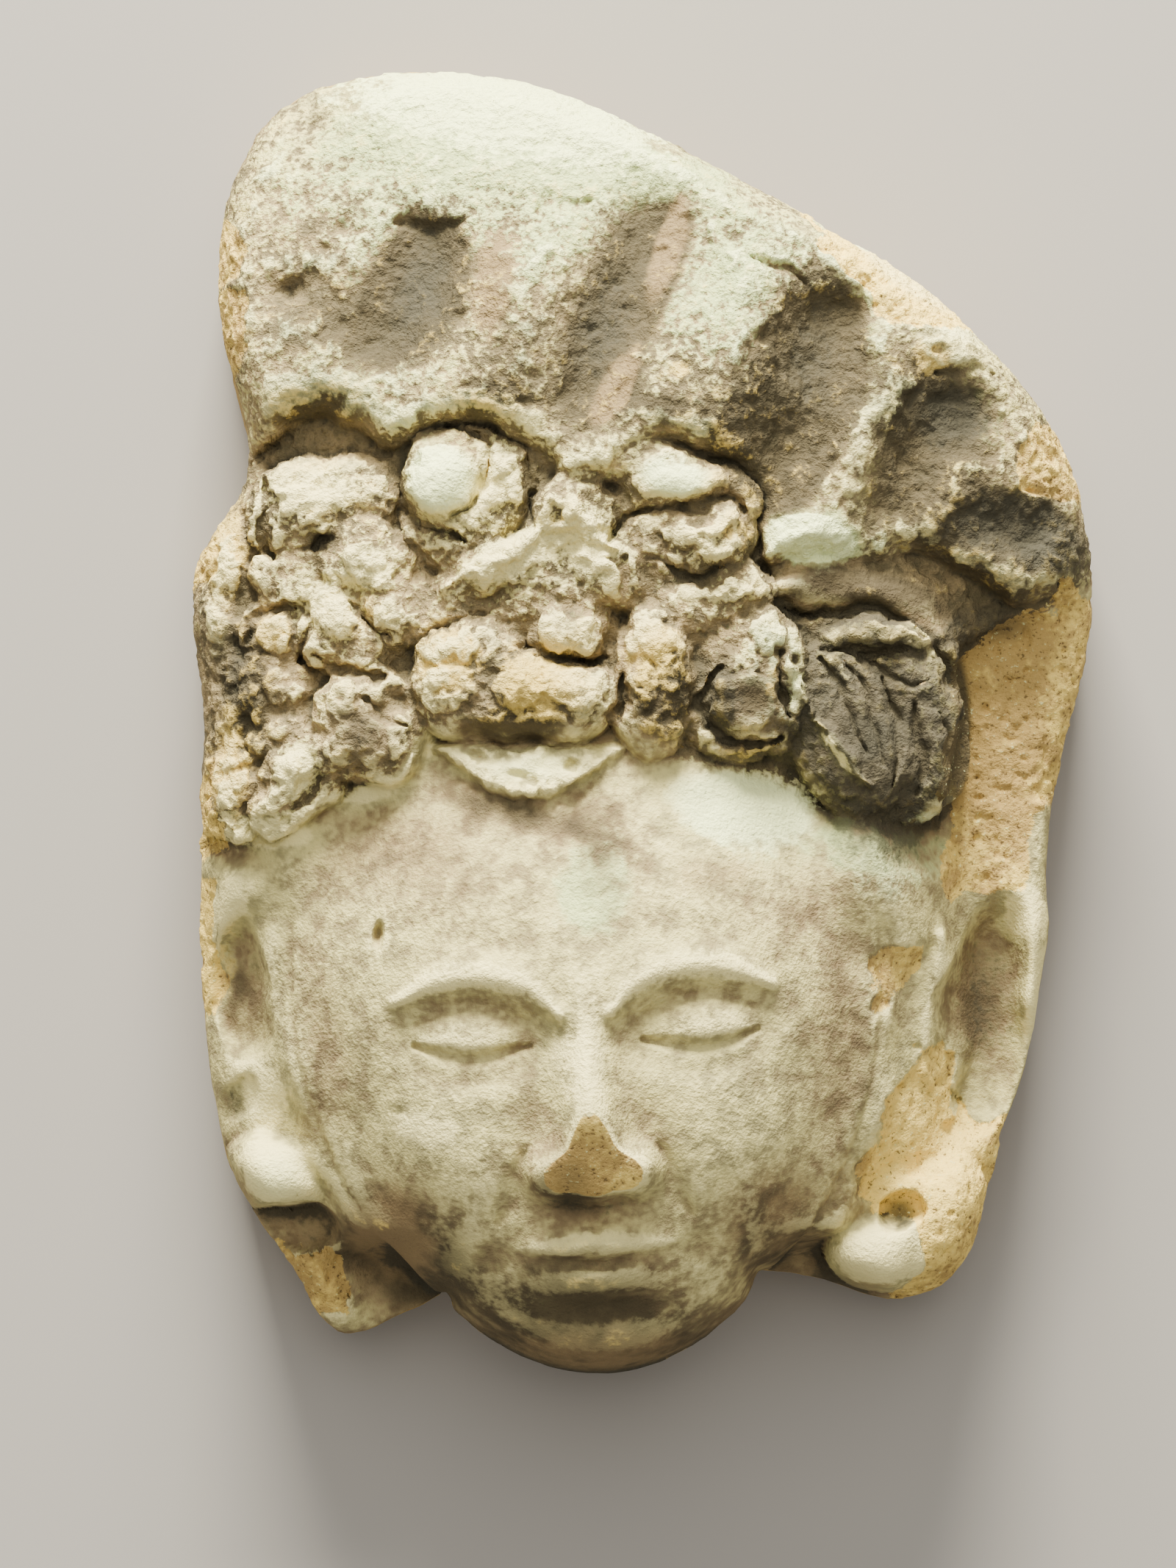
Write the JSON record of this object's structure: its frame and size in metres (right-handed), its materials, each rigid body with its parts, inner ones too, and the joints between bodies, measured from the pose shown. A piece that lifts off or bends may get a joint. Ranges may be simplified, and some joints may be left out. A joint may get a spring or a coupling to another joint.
{
  "type": "terracotta head sculpture",
  "caption": "Broken mould-made terracotta head lying face up on its flat back, with a tall fluted headdress, curled hair, ears with round ornaments and a stub of neck.",
  "frame": {"origin": "centre of the flat back, under the middle of the bounding box", "axes": "+Z out of the face, away from the flat back; +Y from the chin to the top of the headdress; +X across the face to the viewer's right"},
  "size_m": [0.0833, 0.12, 0.0371],
  "materials": {
    "terracotta": "worn, unglazed fired clay with a pale slip"
  },
  "bodies": {
    "root": {"terracotta_head": "terracotta"}
  },
  "joints": []
}
